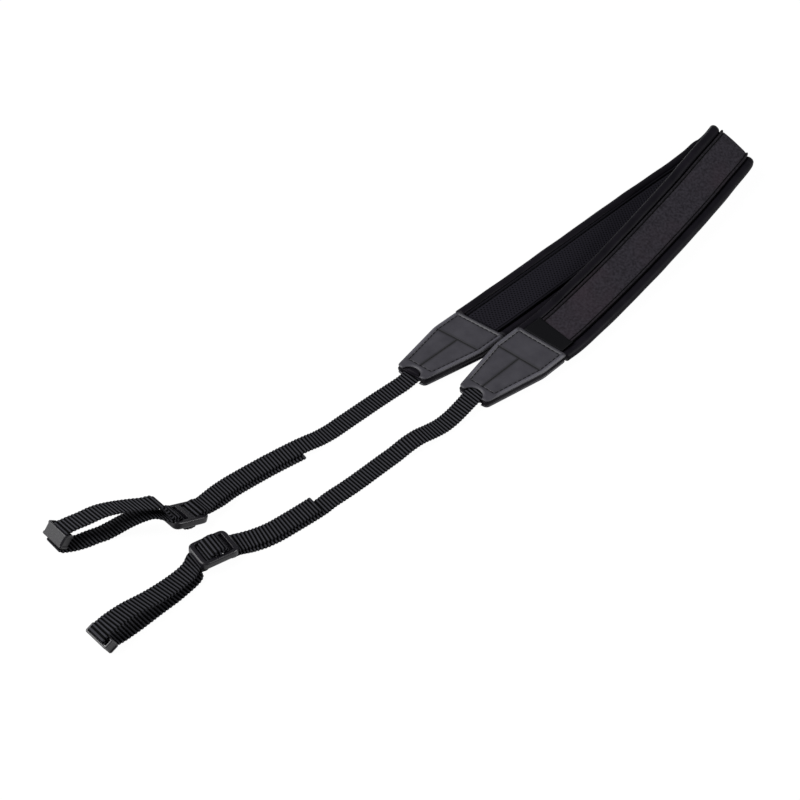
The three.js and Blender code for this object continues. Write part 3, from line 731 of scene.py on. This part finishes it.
def leatherPlan():
    outline = leatherOutline()
    closed = np.vstack([outline, outline[:1]])
    ahead = np.roll(outline, -1, axis=0) - np.roll(outline, 1, axis=0)
    inward = np.stack([ahead[:, 1], -ahead[:, 0]], axis=1) / np.linalg.norm(ahead, axis=1, keepdims=True)
    rings = []
    for step in leatherGrid["rings"]:
        ring = outline + inward * step
        rings.append(ring[distanceTo(ring, closed) > leatherGrid["ringKeep"] * step])
    lines = []
    sewnPaths = [borderPath(), *seamPaths()]
    for path in sewnPaths:
        full = runLengths(path)[-1]
        place = atDistances(path, np.linspace(0, full, int(full / leatherGrid["seam"]) + 1))
        lead = np.gradient(place, axis=0)
        side = np.stack([-lead[:, 1], lead[:, 0]], axis=1) / np.linalg.norm(lead, axis=1, keepdims=True)
        lines += [place + side * step for step in leatherGrid["besideSeam"]]
    step, top = leatherGrid["field"], patch["topWidth"] / 2
    insets = np.arange(leatherGrid["fieldStart"], patch["length"], step)
    grid = np.stack(np.meshgrid(insets, np.arange(-top, top, step)), axis=-1).reshape(-1, 2)
    clear = np.min([distanceTo(grid, path) for path in sewnPaths], axis=0)
    inner = np.concatenate([*lines, grid[clear > leatherGrid["seamClear"]]])
    flat = [Vector(p) for p in outline]
    far = inner[distanceTo(inner, closed) > leatherGrid["edgeClear"]]
    for points in (*rings, far):
        flat += [Vector(p) for p in points]
    loop = list(range(len(outline)))
    edges = [(i, (i + 1) % len(outline)) for i in loop]
    placed, _, triangles, source, _, _ = delaunay_2d_cdt(flat, edges, [loop], 1, leatherGrid["same"])
    onRim = np.array([any(i < len(outline) for i in row) for row in source])
    return outline, np.array([tuple(p) for p in placed]), triangles, onRim


leatherShape = leatherPlan()


def buildLeather(name, node, end, out, side, upper):
    outline, plan, triangles, onRim = leatherShape
    top, under, rim, sewn = leatherHeight(plan, outline)
    top *= 1 if upper else leather["lainOn"]    # the face that it lies on is pressed flatter
    top[onRim] = 0
    inside = np.where(~onRim)[0]
    lower = np.arange(len(plan))
    lower[inside] = len(plan) + np.arange(len(inside))
    points = np.concatenate([onEnd(end, plan[:, 0], plan[:, 1], out + side * top),
                             onEnd(end, plan[inside, 0], plan[inside, 1], out - side * under[inside])])
    faces = [list(face) for face in triangles]
    faces += [[int(lower[i]) for i in reversed(face)] for face in triangles]
    if side * np.dot(np.cross(end["inward"], end["across"]), end["face"]) < 0:
        faces = [face[::-1] for face in faces]
    lay = np.zeros((len(points), 3))
    # the face lying underneath darkens towards its edge: painted shade on the pad's side
    edgeShade = np.exp(-(distanceTo(plan, outline) / leather["edgeShadeRun"]) ** 2)
    lay[:len(plan), 0] = sewn if upper else np.maximum(sewn, edgeShade)
    lay[:len(plan), 0][onRim] = 1    # raw edge darkened to black: painted shade
    # painted highlight along the rolled rim
    lay[:len(plan), 2] = rim * leather["highlightShare"]
    piece = addPiece(name, toFrame(points), faces, "grain_leather", lay=lay)
    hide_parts(node)
    mouthArea = math.pi * patch["mouthDepth"] * patch["mouthWidth"] / 4
    area = (patch["tipWidth"] + patch["topWidth"]) / 2 * patch["taper"] - mouthArea
    area += patch["topWidth"] * (patch["length"] - patch["taper"])


def buildLeatherStitches(name, end, out, side, upper):
    outline = leatherShape[0]
    centres, headings = [], []
    corners = borderPath()
    for start, stop in zip(corners[:-1], corners[1:]):
        place, ahead = alongPath(np.array([start, stop]), leatherStitch["pitch"])
        centres.append(place)
        headings.append(ahead)
    centres, headings = np.concatenate(centres), np.concatenate(headings)
    lift = leatherHeight(centres, outline)[0] * (1 if upper else leather["lainOn"])
    lift += leatherStitch["proud"]
    places = onEnd(end, centres[:, 0], centres[:, 1], out + side * lift)
    ways = headings[:, :1] * end["inward"] + headings[:, 1:] * end["across"]
    ways = ways / np.linalg.norm(ways, axis=1, keepdims=True)
    normals = np.tile(end["face"] * side, (len(places), 1))
    points, faces = stitchMesh(places, ways, normals, leatherStitch["size"])
    addPiece(name, toFrame(points), faces, "ribbed_webbing", sewingThread)


halfLeather = patch["thickness"] / 2
for name, end in ends.items():
    for word, out, side in (("outer", tongue["outer"] + pad["gap"] + halfLeather, 1),
                            ("inner", -tongue["inner"] - pad["gap"] - halfLeather, -1)):
        upper = (word == "outer") == (name == "front")
        buildLeather(f"{name}_leather_{word}", f"{name}_patch_{word}", end, out, side, upper)
        buildLeatherStitches(f"{name}_stitches_{word}", end, out, side, upper)
print("leather ends:", len(leatherShape[2]), "triangles to a face")


# Padded tab in each mouth, between the webbing and the leather's arch

mouthTab = {"start": 0.3, "length": 3.5, "half": 4.4, "height": 1.6, "clear": 0.05, "rings": 14, "sides": 17,
            "ends": (0.004, 0.996), "blunt": 0.14}


def buildMouthTab(name, end):
    t = np.linspace(*mouthTab["ends"], mouthTab["rings"])[:, None]
    swell = np.minimum(1, np.sqrt(t / mouthTab["blunt"])) * np.sqrt(1 - t**2)
    angle = np.linspace(0, math.pi, mouthTab["sides"])[None]
    inset = np.broadcast_to(mouthTab["start"] + mouthTab["length"] * t, (len(t), mouthTab["sides"]))
    out = -tongue["inner"] - mouthTab["clear"] - mouthTab["height"] * swell * np.sin(angle)
    points = onEnd(end, inset, mouthTab["half"] * swell * np.cos(angle), out)
    faces = loftFaces(len(t), mouthTab["sides"])
    if np.dot(np.cross(end["inward"], end["across"]), end["face"]) > 0:
        faces = [face[::-1] for face in faces]
    piece = addPiece(name, toFrame(points.reshape(-1, 3)), faces, "neoprene")


for name, end in ends.items():
    buildMouthTab(f"{name}_mouth_tab", end)
print("mouth tabs set")


# Straps: ribbed webbing from the leather through the slide, round the lug loop and back to a tail

webbing = {"width": 10, "thickness": 1.4, "tuck": 22, "lift": 0.15, "rib": 1.78, "crestHalf": 0.79,
           "valleyHalf": 0.48, "selvedge": 0.24, "pressed": 0.4, "steps": 12, "uneven": (0.93, 1.05),
           "seed": 11, "phases": (0, 0.1, 0.22, 0.36, 0.5, 0.64, 0.78, 0.9), "crestPower": 3}
bandSection = {"flat": (-0.75, -0.45, -0.15, 0.15, 0.45, 0.75),
               "edge": [(0.9, 0.98), (0.96, 0.84), (0.99, 0.55), (1, 0)]}
layer = webbing["thickness"] + pad["gap"]
floorLayer = 0.8
triglide = {"length": 20, "thickness": 4, "endBar": 2.7, "centreBar": 2.4, "bar": 1.6}
weave = {"barGap": 0.25, "endGap": 0.1, "crestGap": 0.2, "rows": 13, "slopeStep": 0.05, "covered": 3}
slides = {
    "front": {"at": (-129.6, -9.5, 5.6), "turn": -9, "lean": 0, "pitch": 7, "bulge": 1, "slip": 1.8,
              "flip": 1},
    "rear": {"at": (-127.1, 14.7, 7.2), "turn": -2.4, "lean": -6, "pitch": 25, "bulge": 0, "slip": -2,
             "flip": -1},
}
straps = {
    "front": {
        "single": [(16, -27.5, 3.6, -1), (8, -27.9, 2.3, -2), (1, -27.7, 1.8, -4), (-6, -27, 2.5, -7),
                   (-13, -26, 3.4, -8), (-20, -25.1, 2.8, -7), (-28, -24.4, 1.2, -4),
                   (-34, -24, floorLayer, -2), (-56, -23.6, floorLayer, -2), (-70, -22.7, floorLayer, -5)],
        "doubled": [(-75, -22.8, floorLayer, -6), (-90, -21.3, floorLayer, -7),
                    (-103, -19.4, floorLayer, -13), (-111, -16.8, floorLayer, -18)],
        "loop": [(-141.8, -11, 2, 1), (-154, -12.5, floorLayer, 5), (-166, -12.6, floorLayer, 1),
                 (-180, -12.7, floorLayer, -1), (-189.5, -12.1, floorLayer, 0), (-193.4, -11.45, 1.5, 0),
                 (-194.6, -11.4, 2.9, 0), (-195.4, -11.4, 4.9, 0), (-196.9, -11.4, 7.4, 0),
                 (-197, -11.35, 9.2, 0), (-194.4, -11.2, 10.35, 0), (-189, -10.8, 10.5, 5),
                 (-180, -10.6, 9.5, 7), (-166, -11.6, 7.4, 8), (-152, -11.2, 5.4, 6), (-145, -10.3, 5, 0)],
    },
    "rear": {
        "single": [(8, 6, 1.6, -5), (0, 6.9, 0.9, -5), (-10, 7.5, floorLayer, -2), (-30, 8.2, floorLayer, -2),
                   (-40, 8.5, 0.9, -4), (-48, 9, 1.8, -7), (-53, 9.7, 2.6, -9)],
        "doubled": [(-58, 11, floorLayer + layer, -9), (-76, 14.2, floorLayer + layer, -8),
                    (-90, 15.7, 3, -5), (-100, 16, 4, -3), (-108, 15.2, 5.3, -3)],
        "loop": [(-136.5, 19.8, 20.2, 0), (-140.5, 22.6, 20.3, 2), (-145.9, 28, 19.2, 3),
                 (-150.7, 33.3, 17.2, 3), (-156.3, 38.2, 15, 3), (-163.7, 42.5, 12, 3),
                 (-168.8, 45.4, 10.2, 2), (-172.2, 47, 8.8, 0), (-174.6, 47.2, 6.3, 0), (-177, 47.1, 3.8, 0),
                 (-178.1, 46.8, 2.2, -2), (-177.2, 46, 1.2, -2),
                 (-173.4, 43.4, floorLayer, -1), (-168, 40.7, floorLayer, 0), (-162, 38.8, floorLayer, 0),
                 (-157.4, 37, 1, 0), (-153.2, 35, 2.6, 0), (-148.1, 31.3, 6.5, 0), (-143.3, 26.8, 10.5, 0),
                 (-139.8, 22.9, 12.8, 0)],
    },
}


def slideAxes(slide):
    across = acrossBand(slide["turn"], slide["lean"])
    heading = np.cross(across, (0, 0, 1))
    heading = heading / np.linalg.norm(heading)
    pitch = math.radians(slide["pitch"])
    heading = heading * math.cos(pitch) + np.cross(heading, across) * math.sin(pitch)
    return heading, np.cross(heading, across)


def throughSlide(slide, offset):
    clear = triglide["bar"] / 2 + layer - pad["gap"] / 2 + weave["barGap"]
    reach = triglide["length"] / 2 - triglide["endBar"] - weave["endGap"]
    crest = triglide["centreBar"] / 2 + weave["crestGap"]
    heading, rise = slideAxes(slide)

    def height(run):
        share = np.clip((reach - abs(run)) / (reach - crest), 0, 1)
        share = share * share * (3 - 2 * share)
        return slide["flip"] * (clear * (2 * share - 1) + slide["bulge"] * share)

    rows = []
    for i in range(weave["rows"] + 1):
        run = triglide["length"] * (0.5 - i / weave["rows"])
        climb = height(run + weave["slopeStep"]) - height(run - weave["slopeStep"])
        slope = math.atan2(climb, 2 * weave["slopeStep"])
        place = np.array(slide["at"]) + heading * (offset * math.sin(slope) - run)
        place = place + rise * (height(run) + offset * math.cos(slope))
        level = height(run) + offset * math.cos(slope)
        bearing = (triglide["thickness"] + webbing["thickness"]) / 2
        covered = level < -bearing or bearing < level < bearing + pad["gap"]    # lies over or under the rails
        rows.append((*place, slide["turn"], slide["lean"], weave["covered"] if covered else 1))
    return rows


def strapRows(name):
    flat = {part: [(*row, 0, 0) for row in rows] for part, rows in straps[name].items()}
    slide = slides[name]
    bed = (channel["floor"] + tongue["outer"]) / 2 + webbing["lift"]
    tucked = [(*onEnd(ends[name], inset, 0, bed), 0, padEnds[name]["lean"], 0)
              for inset in (webbing["tuck"], webbing["tuck"] / 2, 0)]
    outbound = throughSlide(slide, -slide["flip"] * layer / 2)
    inbound = throughSlide(slide, slide["flip"] * layer / 2)[::-1]
    tail = [(x, y + slide["slip"], z + slide["flip"] * layer, *tilt)
            for x, y, z, *tilt in flat["doubled"][::-1]]
    return [*tucked, *flat["single"], *flat["doubled"], *outbound, *flat["loop"], *inbound, *tail]


def ribbedBand(name, node):
    line = smoothLine(strapRows(name), webbing["steps"])
    ribs = int(runLengths(line)[-1] / webbing["rib"])
    phases = np.array(webbing["phases"])
    turns = np.append((np.arange(ribs)[:, None] + phases).ravel(), ribs)
    distances = turns * webbing["rib"]
    crest = 1 - np.abs(np.cos(math.pi * turns)) ** webbing["crestPower"]
    draw = random.Random(webbing["seed"])
    uneven = np.repeat([draw.uniform(*webbing["uneven"]) for _ in range(ribs)], len(phases))
    girth = webbing["valleyHalf"] + (webbing["crestHalf"] - webbing["valleyHalf"]) * crest
    girth[:-1] *= uneven
    placed = atDistances(line, distances)
    pressed = placed[:, 5]    # the slides press the webbing a little wider
    half = webbing["width"] / 2 + webbing["pressed"] * pressed
    half -= webbing["selvedge"] * (1 - crest) * (pressed < 0.5)
    edge = bandSection["edge"]
    upper = [(-a, f) for a, f in reversed(edge)] + [(share, 1) for share in bandSection["flat"]] + edge
    loop = np.array(upper + [(a, -f) for a, f in reversed(upper[1:-1])])[::-1]
    sections = np.stack([half[:, None] * loop[:, 0], girth[:, None] * loop[:, 1]], axis=-1)
    corners = onBand(framesOn(placed), sections)
    # crest share, which the webbing finish turns into painted highlight on crests and painted shade in
    # valleys
    lay = np.stack([sections[..., 0], np.broadcast_to(distances[:, None], sections.shape[:2]),
                    np.broadcast_to(crest[:, None], sections.shape[:2])], axis=-1)
    piece = addPiece(f"{name}_strap", toFrame(corners.reshape(-1, 3)), loftFaces(len(distances), len(loop)),
                     "ribbed_webbing", lay=lay.reshape(-1, 3))
    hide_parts(node)
    print(name, "strap:", ribs, "ribs,", round(distances[-1]), "mm")


paperSweep = {"size": 40, "below": 0.0002, "base": "#303030", "glow": "#ffffff", "strength": 0.97}


def addFloor():
    half = paperSweep["size"] / 2
    mesh = bpy.data.meshes.new("floor")
    corners = [(-half, -half, 0), (half, -half, 0), (half, half, 0), (-half, half, 0)]
    mesh.from_pydata(corners, [], [(0, 1, 2, 3)])
    floor = bpy.data.objects.new("floor", mesh)
    bpy.context.collection.objects.link(floor)
    floor.location.z = -paperSweep["below"]
    material, _, shader = newFinish("whitePaperSweep", Roughness=1.0, Specular_IOR_Level=0.0)
    shader.inputs["Base Color"].default_value = linear(paperSweep["base"])
    shader.inputs["Emission Color"].default_value = linear(paperSweep["glow"])
    shader.inputs["Emission Strength"].default_value = paperSweep["strength"]
    mesh.materials.append(material)


addFloor()
for name in straps:
    ribbedBand(name, f"{name}_webbing")


# Slides and rings: moulded solids with their edges eased

moulding = {"slideVoxel": 0.16, "ringVoxel": 0.12, "slideEase": 8, "ringEase": 5, "easeShare": 0.5}


def mouldedFrom(name, node, voxel, ease):
    mesh = frame["nodes"][node].data.copy()
    mesh.name = name
    rough = bpy.data.objects.new(name, mesh)
    bpy.context.collection.objects.link(rough)
    remesh = rough.modifiers.new("fuse", "REMESH")
    remesh.mode = "VOXEL"
    remesh.voxel_size = voxel * mm
    smooth = rough.modifiers.new("ease", "SMOOTH")
    smooth.factor = moulding["easeShare"]
    smooth.iterations = ease
    done = bpy.data.meshes.new_from_object(rough.evaluated_get(bpy.context.evaluated_depsgraph_get()))
    done.name = name
    rough.modifiers.clear()
    rough.data = done
    done.shade_smooth()
    done.materials.clear()
    done.materials.append(finishes["moulded_plastic"])
    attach(rough, "root")
    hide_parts(node)


for name in slides:
    mouldedFrom(f"{name}_slide", f"{name}_triglide", moulding["slideVoxel"], moulding["slideEase"])
    mouldedFrom(f"{name}_ring", f"{name}_keeper", moulding["ringVoxel"], moulding["ringEase"])
print("slides and rings eased")


# Label: bare folded tape tucked under the front leather's top edge, its near corner lifted

tag = {"half": 11.5, "start": 51.05, "end": 61.3, "base": 3.02, "thickness": 0.5, "sag": 0.18, "lift": 0.9,
       "liftFrom": 0.72, "columns": 27, "rows": 13, "edgeRate": 14, "edgeThin": 0.35}


def buildLabel():
    end = ends["front"]
    across = np.linspace(-1, 1, tag["columns"])
    along = np.linspace(0, 1, tag["rows"])
    a, s = np.meshgrid(across, along)
    corner = np.clip((a - tag["liftFrom"]) / (1 - tag["liftFrom"]), 0, 1) ** 2
    low = tag["base"] - tag["sag"] * (1 - a**2) + tag["lift"] * corner * s
    inset = tag["start"] + (tag["end"] - tag["start"]) * s
    inset = inset - a * tag["half"] * math.tan(math.radians(patch["skew"])) * s    # square at its free edge
    edge = np.minimum(1, np.minimum(1 - np.abs(a), 1 - s) * tag["edgeRate"])
    thick = tag["thickness"] * (tag["edgeThin"] + (1 - tag["edgeThin"]) * np.sqrt(1 - (1 - edge) ** 2))
    upper = onEnd(end, inset, a * tag["half"], low + tag["thickness"] / 2 + thick / 2)
    lower = onEnd(end, inset, a * tag["half"], low + tag["thickness"] / 2 - thick / 2)
    rows, columns = a.shape
    index = np.arange(rows * columns).reshape(rows, columns)
    quads = np.stack([index[:-1, :-1], index[:-1, 1:], index[1:, 1:], index[1:, :-1]], axis=-1).reshape(-1, 4)
    faces = quads[:, ::-1].tolist() + (quads + rows * columns).tolist()
    rim = np.concatenate([index[0], index[1:, -1], index[-1, -2::-1], index[-2:0:-1, 0]])
    following = np.roll(rim, -1)
    faces += np.stack([rim, following, following + rows * columns, rim + rows * columns], axis=-1).tolist()
    points = np.concatenate([upper.reshape(-1, 3), lower.reshape(-1, 3)])
    lay = np.stack([a * tag["half"], inset, np.zeros_like(a)], axis=-1).reshape(-1, 3)
    piece = addPiece("label_tape", toFrame(points), faces, "woven_label", lay=np.concatenate([lay, lay]))
    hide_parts("label")


buildLabel()
print("label laid")


# Light: a large soft box behind and to the left with a low one under it, a smaller one in front on the right

lamps = {
    "keyBox": {"at": (-0.75, 0.55, 1.0), "size": 0.9, "power": 32},
    "fillBox": {"at": (0.6, -0.9, 0.6), "size": 0.45, "power": 13},
    "lowBox": {"at": (-1.05, 0.75, 0.4), "size": 0.6, "power": 5},
}
surround = {"colour": "#ffffff", "strength": 0.2}


def addLamp(name, lamp):
    light = bpy.data.lights.new(name, "AREA")
    light.size = lamp["size"]
    light.energy = lamp["power"]
    holder = bpy.data.objects.new(name, light)
    bpy.context.collection.objects.link(holder)
    holder.location = lamp["at"]
    holder.rotation_euler = Vector(lamp["at"]).to_track_quat("Z", "Y").to_euler()


for name, lamp in lamps.items():
    addLamp(name, lamp)
world = bpy.data.worlds.new("studio")
world.use_nodes = True
background = world.node_tree.nodes["Background"]
background.inputs["Color"].default_value = linear(surround["colour"])
background.inputs["Strength"].default_value = surround["strength"]
bpy.context.scene.world = world
bpy.context.scene.view_settings.view_transform = "Standard"
print("lights set")
